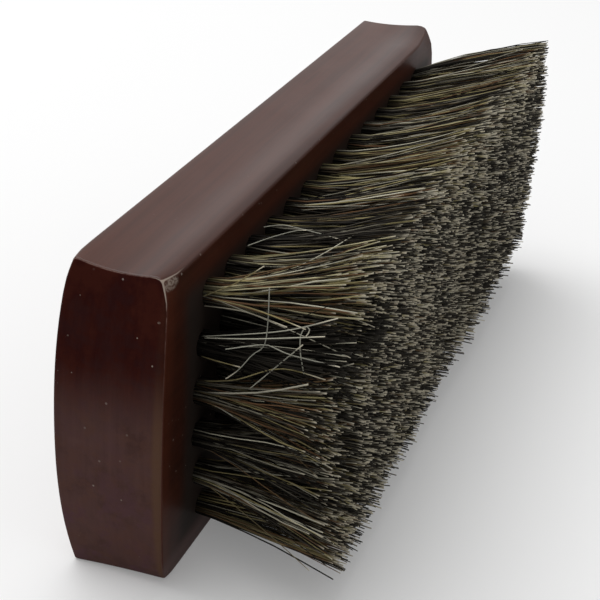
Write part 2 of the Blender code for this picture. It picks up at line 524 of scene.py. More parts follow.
@dataclass(frozen=True)
class EndGrain:
    """Colour of the end faces: dark red above, greyer below, partly dulled lacquer and partly a
    painted reflection.
    """

    # dark above and greyer below: partly the lacquer's own dulling, partly a painted reflection
    top: Stops = ((0.42, (0.0205, 0.0030, 0.0028)), (0.60, (0.0385, 0.0080, 0.0050)))
    low: Stops = ((0.36, (0.060, 0.029, 0.025)), (0.66, (0.095, 0.050, 0.045)))
    streaks: Noise = Noise(900.0, 3.0, 0.6)
    streak_pull: Triple = (1.0, 1.0, 0.05)
    streak_share: float = 0.25
    blotch_colour: Triple = (0.092, 0.043, 0.031)
    blotches: Noise = Noise(420.0, 3.0, 0.7, (0.3, 0.1, 0.2))
    blotch_fade: Fade = Fade(0.44, 0.62, 0.0, 0.40)
    plum_colour: Triple = (0.080, 0.038, 0.045)
    plums: Noise = Noise(260.0, 4.0, 0.75, (0.7, 0.4, 0.6))
    plum_fade: Fade = Fade(0.47, 0.62, 0.0, 0.80)
    plum_heights: Fade = Fade(0.004, 0.030, 1.0, 0.2)
    top_slant: float = -0.10
    top_heights: Fade = Fade(0.0269, 0.0409)
    top_raggedness: Fade = Fade(0.35, 0.65, -0.12, 0.12)
    edge_colour: Triple = (0.104, 0.056, 0.028)
    edge_fade: Fade = Fade(-0.0054, -0.0045)
    edge_heights: Fade = Fade(0.026, 0.040, 0.55, 0.08)

    def colour(self, tree: Tree, place: Socket, clouds: Socket) -> Socket:
        """Return the end faces' colour.

        Args:
            tree: the material's tree.
            place: the place on the block.
            clouds: the broad noise that breaks up its tones.

        Returns:
            The colour.
        """
        x, _, z = tree.parts(place)
        streaks = tree.noise(tree.vector("MULTIPLY", place, self.streak_pull), self.streaks)
        tone = tree.math("ADD", tree.product(streaks, self.streak_share),
                         tree.product(clouds, 1.0 - self.streak_share))
        blotchy = tree.faded(tree.noise(place, self.blotches), self.blotch_fade)
        low = tree.mixed(blotchy, tree.ramp(tone, self.low), self.blotch_colour)
        plum = tree.product(tree.faded(tree.noise(place, self.plums), self.plum_fade),
                            tree.faded(z, self.plum_heights))
        low = tree.mixed(plum, low, self.plum_colour)
        slanted = tree.math("MULTIPLY_ADD", x, self.top_slant, z)
        high = tree.math("ADD", tree.faded(slanted, self.top_heights),
                         tree.faded(clouds, self.top_raggedness), limit=True)
        colour = tree.mixed(high, low, tree.ramp(tone, self.top))
        edge = tree.product(tree.faded(x, self.edge_fade), tree.faded(z, self.edge_heights))
        return tree.mixed(edge, colour, self.edge_colour)


@dataclass(frozen=True)
class BristleFace:
    """Colour of the bristle face: dark at the near end, reddish at its rim, painted shade among the
    tufts, greyer low down.
    """

    shape: BlockShape
    near_colour: Triple = (0.0130, 0.0050, 0.0035)
    near_fade: Fade = Fade(-0.0600, -0.0480, 0.40, 0.0)
    rim_colour: Triple = (0.080, 0.020, 0.0095)
    rim_fade: Fade = Fade(0.0010, 0.0042, 0.45, 0.0)
    # painted shade: a dark colour laid on the face among the tufts, where they would shade it
    tuft_shade_colour: Triple = (0.0250, 0.0215, 0.0185)
    tuft_shade_level: float = 0.85
    tuft_shade_ends: tuple[Fade, ...] = (Fade(-0.0618, -0.0572), Fade(0.061, 0.066, 1.0, 0.0))
    tuft_shade_sides: tuple[Fade, ...] = (Fade(0.0455, 0.0490, 1.0, 0.0), Fade(0.002, 0.006))
    # lighter and greyer low on the face, towards the near end
    low_grey_colour: Triple = (0.095, 0.050, 0.045)
    low_grey_heights: Fade = Fade(0.0022, 0.0052, 0.75, 0.0)
    low_grey_fade: Fade = Fade(-0.0560, -0.0440, 1.0, 0.0)

    def from_end(self, tree: Tree, place: Socket) -> Socket:
        """Return how far a point of the face lies from the bowed near end's edge.

        Args:
            tree: the material's tree.
            place: the point.

        Returns:
            The distance.
        """
        _, y, z = tree.parts(place)
        off = tree.math("MULTIPLY_ADD", z, 2 / self.shape.width, -1.0)
        bow = tree.math("MULTIPLY_ADD", tree.product(off, off), -self.shape.end_bow,
                        self.shape.end_bow)
        return tree.chain("ADD", y, self.shape.length / 2, bow)

    def painted_shade_among_tufts(self, tree: Tree, place: Socket) -> Socket:
        """Return a mask of the part of the face among the tufts that gets painted shade.

        Args:
            tree: the material's tree.
            place: the place on the block.

        Returns:
            The mask.
        """
        _, y, z = tree.parts(place)
        return tree.product(*(tree.faded(y, fade) for fade in self.tuft_shade_ends),
                            *(tree.faded(z, fade) for fade in self.tuft_shade_sides))

    def over(self, tree: Tree, place: Socket, on_face: Socket, colour: Socket) -> Socket:
        """Return the sides' colour with the face's own laid over it, painted shade among the tufts
        included.

        Args:
            tree: the material's tree.
            place: the place on the block.
            on_face: mask of the bristle face.
            colour: the sides' colour.

        Returns:
            The colour of both.
        """
        _, y, z = tree.parts(place)
        low_grey = tree.product(tree.faded(z, self.low_grey_heights), tree.faded(y, self.low_grey_fade))
        for share, layer in (
                (tree.faded(y, self.near_fade), self.near_colour),
                (tree.faded(self.from_end(tree, place), self.rim_fade), self.rim_colour),
                (tree.product(self.painted_shade_among_tufts(tree, place), self.tuft_shade_level), self.tuft_shade_colour),
                (low_grey, self.low_grey_colour)):
            colour = tree.mixed(tree.product(on_face, share), colour, layer)
        return colour


@dataclass(frozen=True)
class LacqueredWood:
    """Dark red-brown lacquer over wood: glossy along the grain, duller on the end grain."""

    shape: BlockShape
    end: EndGrain = EndGrain()
    side: Stops = ((0.36, (0.028, 0.0085, 0.0055)), (0.64, (0.074, 0.0220, 0.0125)))
    pore_colour: Triple = (0.010, 0.004, 0.003)
    pore_level: float = 0.45
    facing: Fade = Fade(0.55, 0.85)
    clouds: Noise = Noise(190.0, 4.0, 0.65)
    # worn edges with a painted highlight: a pale line along the ends' edges, brightest at the top
    worn_highlight_colour: Triple = (0.24, 0.155, 0.130)
    worn_highlight_level: float = 0.75
    worn_highlight_ends: Fade = Fade(0.058, 0.0635)
    worn_highlight_heights: Fade = Fade(0.038, 0.050, 0.15, 1.0)
    # bare wood and a painted highlight on the near corner of the bristle face
    bare_and_highlight_colour: Triple = (0.42, 0.35, 0.29)
    bare_and_highlight_level: float = 0.8
    bare_and_highlit_corner: Chip = Chip(-0.0043, -0.0650, 0.0507, 0.0034, 0.3)
    flakes: Noise = Noise(2600.0, 2.0, 0.6)
    flake_fade: Fade = Fade(0.36, 0.66, 0.12, 0.62)
    chips: tuple[Chip, ...] = (
        # on the bristle face's near corner: partly a knock, partly a painted highlight
        Chip(-0.0043, -0.0631, 0.0507, 0.0011),
        Chip(-0.0051, -0.0655, 0.0458, 0.00024),
        Chip(-0.0056, -0.0650, 0.0500, 0.00014),
        Chip(-0.0172, -0.0655, 0.0470, 0.00015),
        Chip(-0.0186, -0.0665, 0.0408, 0.00017),
        Chip(-0.0081, -0.0660, 0.0429, 0.00013),
        Chip(-0.0055, -0.0665, 0.0394, 0.00017),
    )
    dust_colour: Triple = (0.42, 0.36, 0.32)
    dust_fade: Fade = Fade(0.5, 0.8, 0.50, 0.05)
    roughness: float = 0.48
    swirls: Noise = Noise(90.0, 3.0, 0.6)
    swirl_fade: Fade = Fade(0.3, 0.7, -0.05, 0.05)
    sheen_level: float = 0.02
    coat_roughness: float = 0.30
    side_coat: float = 0.51
    face_coat: float = 0.16
    band_x: float = -0.0088
    band_fade: Fade = Fade(0.0, 0.0040, 1.26, 0.97)
    band_ends: Fade = Fade(-0.066, -0.046, 0.82, 1.0)
    bump_strength: float = 0.10
    bump_height: float = 0.0002

    def worn(self, tree: Tree, place: Socket, edges: Socket) -> Socket:
        """Return where the block's edges are worn and carry a painted highlight: at its ends, and
        most at the top.

        Args:
            tree: the material's tree.
            place: the place on the block.
            edges: mask of the worn patches of all edges.

        Returns:
            The mask.
        """
        _, y, z = tree.parts(place)
        return tree.product(edges, tree.faded(tree.math("ABSOLUTE", y), self.worn_highlight_ends),
                            tree.faded(z, self.worn_highlight_heights))

    def knocked(self, tree: Tree, place: Socket, turn: Socket, colour: Socket) -> Socket:
        """Return a colour with the bare corner and the small chips of the near end, the corner and
        its largest chip partly a painted highlight.

        Args:
            tree: the material's tree.
            place: the place on the block.
            turn: mask of the edges.
            colour: the colour under them.

        Returns:
            The colour of both.
        """
        # bare corner, partly a painted highlight down the edge
        bare = tree.product(self.bare_and_highlit_corner.mask(tree, place), turn, self.bare_and_highlight_level)
        colour = tree.mixed(bare, colour, self.bare_and_highlight_colour)
        flakes = tree.faded(tree.noise(place, self.flakes), self.flake_fade)
        for chip in self.chips:
            ragged = tree.product(chip.mask(tree, place), flakes)
            colour = tree.mixed(ragged, colour, self.bare_and_highlight_colour)
        return colour

    def top_band(self, tree: Tree, place: Socket) -> Socket:
        """Return how much the top's lacquer shines: most in a band beside the bristle face.

        Args:
            tree: the material's tree.
            place: the place on the block.

        Returns:
            The shine, where 1 is plain lacquer.
        """
        x, y, _ = tree.parts(place)
        away = tree.math("ABSOLUTE", tree.math("SUBTRACT", x, self.band_x))
        return tree.product(tree.faded(away, self.band_fade), tree.faded(y, self.band_ends))

    def coat(self, tree: Tree, place: Socket, on_face: Socket, dulled: Sequence[Socket]) -> Socket:
        """Return how much clear lacquer lies on the block.

        Args:
            tree: the material's tree.
            place: the place on the block.
            on_face: mask of the bristle face, which has less.
            dulled: masks of where it is gone or held off: on the end grain, under the painted shade
                among the tufts and on worn edges.

        Returns:
            The weight of the coat.
        """
        coat = tree.math("MULTIPLY_ADD", on_face, self.face_coat - self.side_coat, self.side_coat)
        left = [tree.math("SUBTRACT", 1.0, mask) for mask in dulled]
        return tree.product(coat, self.top_band(tree, place), *left, limit=True)

    def make(self, effects: SharedEffects) -> bpy.types.Material:
        """Build the material.

        Args:
            effects: the shared node groups.

        Returns:
            The material.
        """
        material, tree = new_material("lacquered_wood_finish")
        spot = tree.add("ShaderNodeTexCoord").outputs
        place, normal = spot["Object"], spot["Normal"]
        grain = tree.group(effects.grain, {"Place": place})
        wear = tree.group(effects.edge_wear_and_highlight, {"Place": place, "Normal": normal})
        specks = tree.group(effects.dust, {"Place": place})
        normal_x, normal_y, normal_z = tree.parts(normal)
        on_face = tree.faded(normal_x, self.facing)
        on_end = tree.faded(tree.math("ABSOLUTE", normal_y), self.facing)

        face = BristleFace(self.shape)
        pores = tree.product(grain["Pore"], self.pore_level)
        colour = tree.mixed(pores, tree.ramp(grain["Tone"], self.side), self.pore_colour)
        colour = face.over(tree, place, on_face, colour)
        clouds = tree.noise(place, self.clouds)
        colour = tree.mixed(on_end, colour, self.end.colour(tree, place, clouds))
        worn = self.worn(tree, place, wear["Mask"])
        # worn edge, partly a painted highlight along the arris
        colour = tree.mixed(tree.product(worn, self.worn_highlight_level), colour, self.worn_highlight_colour)
        colour = self.knocked(tree, place, wear["Turn"], colour)
        dusty = tree.product(specks["Mask"], tree.faded(normal_z, self.dust_fade))
        colour = tree.mixed(dusty, colour, self.dust_colour)

        # mask of the painted shade among the tufts, which also takes the coat away there
        shaded = tree.product(on_face, face.painted_shade_among_tufts(tree, place))
        swirls = tree.faded(tree.noise(place, self.swirls), self.swirl_fade)
        bump = tree.add("ShaderNodeBump", {
            "Height": grain["Tone"], "Strength": self.bump_strength,
            "Distance": self.bump_height})
        tree.surface({
            "Base Color": colour, "Roughness": tree.math("ADD", swirls, self.roughness),
            "Coat Weight": self.coat(tree, place, on_face, (on_end, shaded, worn)),
            "Coat Roughness": self.coat_roughness, "Specular IOR Level": self.sheen_level,
            "Normal": bump.outputs[0]})
        return material


@dataclass(frozen=True)
class MixedHair:
    """Natural hair of many tones: each hair has its own, with painted shade at its root and pale
    cut tips, partly their own colour and partly a painted highlight.

    The tones come in pairs: the lower of each pair is straw, the upper one grey. From the
    lightest straw and grey up, all are white, and the last ones fade to silver.
    """

    straw: Stops = (
        (0.00, (0.004, 0.0035, 0.0035)),
        (0.38, (0.010, 0.0085, 0.0068)),
        (0.46, (0.056, 0.040, 0.023)),
        (0.51, (0.100, 0.074, 0.040)),
        (0.535, (0.165, 0.088, 0.043)),
        (0.56, (0.185, 0.102, 0.051)),
        (0.60, (0.195, 0.157, 0.080)),
        (0.76, (0.365, 0.312, 0.145)),
        (0.90, (0.490, 0.430, 0.215)),
    )
    grey: Stops = (
        (0.00, (0.004, 0.0035, 0.0035)),
        (0.38, (0.010, 0.0092, 0.0082)),
        (0.46, (0.053, 0.046, 0.036)),
        (0.56, (0.142, 0.128, 0.100)),
        (0.76, (0.335, 0.313, 0.240)),
        (0.90, (0.455, 0.432, 0.345)),
    )
    white: Stops = (
        (0.945, (0.66, 0.63, 0.49)),
        (0.96, (0.66, 0.63, 0.49)),
        (1.00, (0.27, 0.278, 0.248)),
    )
    band_colour: Triple = (0.05, 0.043, 0.033)
    bands: Noise = Noise(1.0, 2.0)
    band_pull: Triple = (91.0, 2.2, 0.0)
    band_fade: Fade = Fade(0.35, 0.7, 0.0, 0.45)
    # painted shade: hair darker towards its roots
    root_shade_colour: Triple = (0.012, 0.010, 0.009)
    root_shade_fade: Fade = Fade(0.07, 0.30, 0.78, 0.0)
    # pale cut tips: partly the cut ends' own paler colour, partly a painted highlight
    cut_end_and_highlight_colour: Triple = (0.70, 0.64, 0.50)
    tip_highlight_fade: Fade = Fade(0.955, 1.0)
    tip_highlight_tones: Fade = Fade(0.40, 0.62, 0.03, 0.78)
    roughness: float = 0.50
    sheen_level: float = 0.03

    def make(self) -> bpy.types.Material:
        """Build the material, which reads only each hair's tone and the place along it.

        Returns:
            The material.
        """
        material, tree = new_material("mixed_hair_finish")
        tone, along = (tree.add("ShaderNodeAttribute", attribute_name=name).outputs["Fac"]
                       for name in ("hair_tone", "along"))
        half = tree.math("FRACT", tree.product(tone, TONE_ROWS / 2))
        colour = tree.mixed(tree.math("GREATER_THAN", half, 0.5),
                            tree.ramp(tone, (*self.straw, *self.white)),
                            tree.ramp(tone, (*self.grey, *self.white)))
        place = tree.vector("MULTIPLY", tree.joined(tone, along, 0.0), self.band_pull)
        bands = tree.faded(tree.noise(place, self.bands), self.band_fade)
        colour = tree.mixed(bands, colour, self.band_colour)
        # painted shade at the roots
        colour = tree.mixed(tree.faded(along, self.root_shade_fade), colour, self.root_shade_colour)
        # pale tips, partly a painted highlight, on all but the darkest hairs
        tip = tree.product(tree.faded(along, self.tip_highlight_fade), tree.faded(tone, self.tip_highlight_tones))
        colour = tree.mixed(tip, colour, self.cut_end_and_highlight_colour)
        tree.surface({"Base Color": colour, "Roughness": self.roughness,
                      "Specular IOR Level": self.sheen_level})
        return material


def scene_object(name: str, data: bpy.types.ID) -> bpy.types.Object:
    """Put data into the scene as an object at the origin.

    Args:
        name: the object's name.
        data: its mesh, camera or lamp.

    Returns:
        The object.
    """
    item = bpy.data.objects.new(name, data)
    bpy.context.scene.collection.objects.link(item)
    return item


def closed_mesh(bm: bmesh.types.BMesh, name: str) -> bpy.types.Mesh:
    """Turn a finished bmesh into a mesh whose faces point outwards.

    Args:
        bm: the finished bmesh, which is freed.
        name: the mesh's name.

    Returns:
        The mesh.
    """
    bmesh.ops.recalc_face_normals(bm, faces=bm.faces)
    mesh = bpy.data.meshes.new(name)
    bm.to_mesh(mesh)
    bm.free()
    return mesh


def settle(item: bpy.types.Object) -> None:
    """Turn an object's evaluated shape into its plain mesh and drop its modifiers.

    Args:
        item: the object.
    """
    graph = bpy.context.evaluated_depsgraph_get()
    made = bpy.data.meshes.new_from_object(item.evaluated_get(graph))
    item.modifiers.clear()
    old = item.data
    item.data = made
    bpy.data.meshes.remove(old)
    made.name = item.name


def place_piece(item: bpy.types.Object, node: str | None) -> None:
    """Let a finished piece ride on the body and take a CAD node's place.

    Args:
        item: the finished piece.
        node: the CAD node that it stands for, if any.
    """
    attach(item, "root")
    if node is not None:
        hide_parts(node)
    LOG.info("%s: %d faces", item.name, len(item.data.polygons))


@dataclass
class WoodBlock:
    """The block: one board, crowned, bowed at its ends, coved along its sides and drilled.

    Its near corners are worn blunt, and its top far corner stands out a little.
    """

    KEYS_PER_METRE = 1e7  # points that round to the same key share one vert

    shape: BlockShape
    pattern: TuftPattern
    edge_radius: float = 0.00045
    edge_steps: int = 4
    guards: tuple[float, ...] = (0.00012, 0.0007, 0.0016, 0.0027)  # fine cells beside each edge
    cells: tuple[int, int, int] = (10, 42, 22)  # plain cells along X, Y and Z
    cove_depth: float = 0.00062
    cove_land: float = 0.0010
    cove_far_share: float = 0.35  # of the cove's depth that is left at the far end
    cove_low_share: float = 0.20  # of the cove's depth that the lower long side has
    corner_reach: float = 0.0042
    corner_power: float = 1.5
    face_blunt: float = 0.0011
    back_blunt: float = 0.0006
    low_corner_lift: float = 0.0007
    top_drop: float = 0.0007
    top_drop_reach: float = 0.0024
    top_drop_end_loss: float = 0.4  # share of the drop that the near end lacks
    top_power: int = 4
    far_blunt: float = 0.0015
    far_lip: float = 0.0010
    far_lip_reach: float = 0.010
    hole_radius: float = 0.0020
    hole_depth: float = 0.0095
    hole_sides: int = 16
    mouth_flare: float = 0.00014
    mouth_lead: float = 0.00005
    drill_lead: float = 0.001
    point_length: float = 0.0008
    point_radius: float = 0.0003
    smooth_angle: float = math.radians(32)

    def stations(self, half: float, cells: int) -> list[tuple[float, float]]:
        """Return (place, tangent) along one axis: flat cells with half an edge round at both ends.

        Args:
            half: half the board's size on that axis.
            cells: number of flat cells between the finer ones that guard both edges.

        Returns:
            The stations from the low to the high side.
        """
        flat = half - self.edge_radius
        bend = [math.tan(math.pi / 4 * step / self.edge_steps)
                for step in range(1, self.edge_steps + 1)]
        inner = flat - self.guards[-1]
        places = [inner * (2 * cell / cells - 1) for cell in range(cells + 1)]
        guards = [flat - guard for guard in (0.0, *self.guards[:-1])]
        places = [-place for place in guards] + places + guards[::-1]
        low = [(-flat, -tangent) for tangent in reversed(bend)]
        return low + [(place, 0.0) for place in places] + [(flat, tangent) for tangent in bend]

    def hollow(self, point: Vector, deep: float) -> float:
        """Return how deep the finger cove is.

        Args:
            point: a point of the plain board.
            deep: its share of the way from the bristle face to the back.

        Returns:
            The depth.
        """
        land = self.cove_land / self.shape.thickness
        along = clamp(point.y / self.shape.length + 0.5)
        fade = 1 + (self.cove_far_share - 1) * along
        if point.z < 0:
            fade *= self.cove_low_share
        return self.cove_depth * fade * swell(clamp((deep - land) / (1 - 2 * land)))

    def worn(self, point: Vector, deep: float, across: float) -> Triple:
        """Return how far wear moves a point of the board.

        Args:
            point: a point of the plain board.
            deep: its share of the way from the bristle face to the back.
            across: its share of the way from the lower long side to the top.

        Returns:
            The move along X, Y and Z.
        """
        shape = self.shape
        to_end = nearness(shape.length / 2 + point.y, self.corner_reach)
        to_side = nearness(shape.width / 2 - abs(point.z), self.corner_reach)
        blunt = (to_end * to_side) ** self.corner_power
        if point.z <= 0:
            lift = self.low_corner_lift * blunt * (1 - deep)
            return 0.0, lift, lift
        to_far = nearness(shape.length / 2 - point.y, self.far_lip_reach)
        to_face = nearness(deep * shape.thickness, self.top_drop_reach)
        high = across ** self.top_power
        drop = self.top_drop * to_face ** 2 * (1 - self.top_drop_end_loss * to_end) * high
        back = blunt * (deep * self.back_blunt - (1 - deep) * self.face_blunt)
        back -= (to_far * to_side) ** self.corner_power * (1 - deep) * self.far_blunt
        lip = to_far ** 2 * (1 - deep) ** self.corner_power * high * self.far_lip
        return back, lip, lip - drop

    def bend(self, point: Vector) -> Vector:
        """Return where a point of the plain rounded board goes on the real one.

        Args:
            point: the point, from the middle of the board.

        Returns:
            The point of the real board.
        """
        shape = self.shape
        deep = clamp(0.5 - point.x / shape.thickness)
        across = clamp(point.z / shape.width + 0.5)
        x = shape.face_x - deep * shape.thickness
        x -= shape.back_crown * swell(across, shape.back_power) * deep
        x += shape.face_crown * swell(across) * (1 - deep)
        y = point.y * (1 + shape.end_bow * swell(across) / (shape.length / 2))
        z = shape.width / 2 + point.z * (1 - 2 * self.hollow(point, deep) / shape.width)
        worn_x, worn_y, worn_z = self.worn(point, deep, across)
        return Vector((x + worn_x, y + worn_y, z + worn_z))

    def shell(self) -> bpy.types.Mesh:
        """Build the undrilled board.

        Returns:
            One closed mesh.
        """
        half = Vector((self.shape.thickness, self.shape.length, self.shape.width)) / 2
        stations = [self.stations(half[axis], self.cells[axis]) for axis in range(3)]
        bm = bmesh.new()
        known: dict[tuple[int, ...], bmesh.types.BMVert] = {}

        def corner(axis: int, sign: int, first: int, second: int) -> bmesh.types.BMVert:
            """Return the vert for one grid place of one side of the board.

            Args:
                axis: the axis that the side faces.
                sign: the side's direction on it.
                first: station on the next axis.
                second: station on the one after.

            Returns:
                The vert, shared with the neighbouring sides.
            """
            core, way = Vector(), Vector()
            core[axis], way[axis] = sign * (half[axis] - self.edge_radius), sign
            for other, index in (((axis + 1) % 3, first), ((axis + 2) % 3, second)):
                core[other], way[other] = stations[other][index]
            plain = core + way.normalized() * self.edge_radius
            key = tuple(round(value * self.KEYS_PER_METRE) for value in plain)
            if key not in known:
                known[key] = bm.verts.new(self.bend(plain))
            return known[key]

        for axis in range(3):
            counts = [len(stations[(axis + step) % 3]) - 1 for step in (1, 2)]
            for sign in (-1, 1):
                for first in range(counts[0]):
                    for second in range(counts[1]):
                        bm.faces.new([corner(axis, sign, first + a, second + b)
                                      for a, b in ((0, 0), (1, 0), (1, 1), (0, 1))])
        return closed_mesh(bm, "wood_block")

    def drills(self) -> bpy.types.Mesh:
        """Build what the tuft holes are cut with, each with a flared mouth and a point.

        Returns:
            The mesh of all drills.
        """
        wide = self.hole_radius + self.mouth_flare
        profile = ((self.drill_lead, wide), (self.mouth_lead, wide),
                   (-self.mouth_flare, self.hole_radius), (-self.hole_depth, self.hole_radius),
                   (-self.hole_depth - self.point_length, self.point_radius))
        turns = [2 * math.pi * side / self.hole_sides for side in range(self.hole_sides)]
        mouths = [self.pattern.mouth(column, row) for column in range(self.pattern.columns)
                  for row in range(self.pattern.rows)]
        bm = bmesh.new()
        for mouth in mouths:
            rings = [[bm.verts.new(mouth + Vector((step, size * math.cos(turn),
                                                   size * math.sin(turn)))) for turn in turns]
                     for step, size in profile]
            bm.faces.new(rings[0])
            bm.faces.new(rings[-1][::-1])
            for low, high in zip(rings, rings[1:]):
                for wall in zip(low, low[1:] + low[:1], high[1:] + high[:1], high):
                    bm.faces.new(wall)
        return closed_mesh(bm, "drills")

    def build(self, finish: bpy.types.Material) -> bpy.types.Object:
        """Build and dress the block.

        Args:
            finish: the lacquered wood.

        Returns:
            The finished piece.
        """
        block = scene_object("wood_block", self.shell())
        drills = scene_object("drills", self.drills())
        cut = block.modifiers.new("holes", "BOOLEAN")
        cut.operation, cut.solver, cut.object = "DIFFERENCE", "EXACT", drills
        settle(block)
        bpy.data.objects.remove(drills, do_unlink=True)
        block.data.materials.clear()
        block.data.materials.append(finish)
        block.data.shade_smooth()
        block.data.set_sharp_from_angle(angle=self.smooth_angle)
        place_piece(block, "block")
        return block


class GrowthTree:
    """A Geometry Nodes tree with named inputs, and what tuft hairs and strays share in it."""

    def __init__(self, name: str, inputs: dict[str, Any]) -> None:
        """Start the tree.

        Args:
            name: the node group's name.
            inputs: a first value for each of its named inputs.
        """
        self.group = bpy.data.node_groups.new(name, "GeometryNodeTree")
        self.identifiers: dict[str, str] = {}
        socket = self.group.interface.new_socket
        for way in ("INPUT", "OUTPUT"):
            socket("Geometry", in_out=way, socket_type="NodeSocketGeometry")
        for label, value in inputs.items():
            made = socket(label, in_out="INPUT", socket_type=socket_kind(value))
            if not isinstance(value, bpy.types.ID):
                made.default_value = value
            self.identifiers[label] = made.identifier
        self.tree = Tree(self.group)
        self.given = self.tree.add("NodeGroupInput").outputs

    def position(self) -> Socket:
        """Return where each point stands."""
        return self.tree.add("GeometryNodeInputPosition").outputs[0]

    def store(self, geometry: Socket, name: str, value: Socket, data_type: str = "FLOAT",
              domain: str = "POINT") -> Socket:
        """Return geometry that carries a named attribute.

        Args:
            geometry: the geometry without it.
            name: the attribute's name.
            value: its value.
            data_type: Blender's name for what it holds.
            domain: Blender's name for what carries it.

        Returns:
            The geometry with it.
        """
        return self.tree.add("GeometryNodeStoreNamedAttribute", {
            "Geometry": geometry, "Name": name, "Value": value},
            data_type=data_type, domain=domain).outputs[0]

    def read(self, name: str, data_type: str = "FLOAT") -> Socket:
        """Read a named attribute.

        Args:
            name: the attribute's name.
            data_type: Blender's name for what it holds.

        Returns:
            Its value.
        """
        node = self.tree.add("GeometryNodeInputNamedAttribute", {"Name": name},
                             data_type=data_type)
        return self.tree.out(node, "Attribute")

    def finish(self, geometry: Socket) -> None:
        """End the tree in plain geometry that wears the Finish input.

        Args:
            geometry: what the tree has made.
        """
        plain = self.tree.add("GeometryNodeRealizeInstances", {"Geometry": geometry})
        dressed = self.tree.add("GeometryNodeSetMaterial", {
            "Geometry": plain.outputs[0], "Material": self.given["Finish"]})
        self.tree.add("NodeGroupOutput", {0: dressed.outputs[0]})

    def apply(self, item: bpy.types.Object, inputs: dict[str, Any]) -> None:
        """Run the tree on an object with these inputs, and settle the result.

        Args:
            item: the object whose mesh the tree starts from.
            inputs: a value for every named input.
        """
        grow = item.modifiers.new("grow", "NODES")
        grow.node_group = self.group
        for name, value in inputs.items():
            grow[self.identifiers[name]] = value
        settle(item)


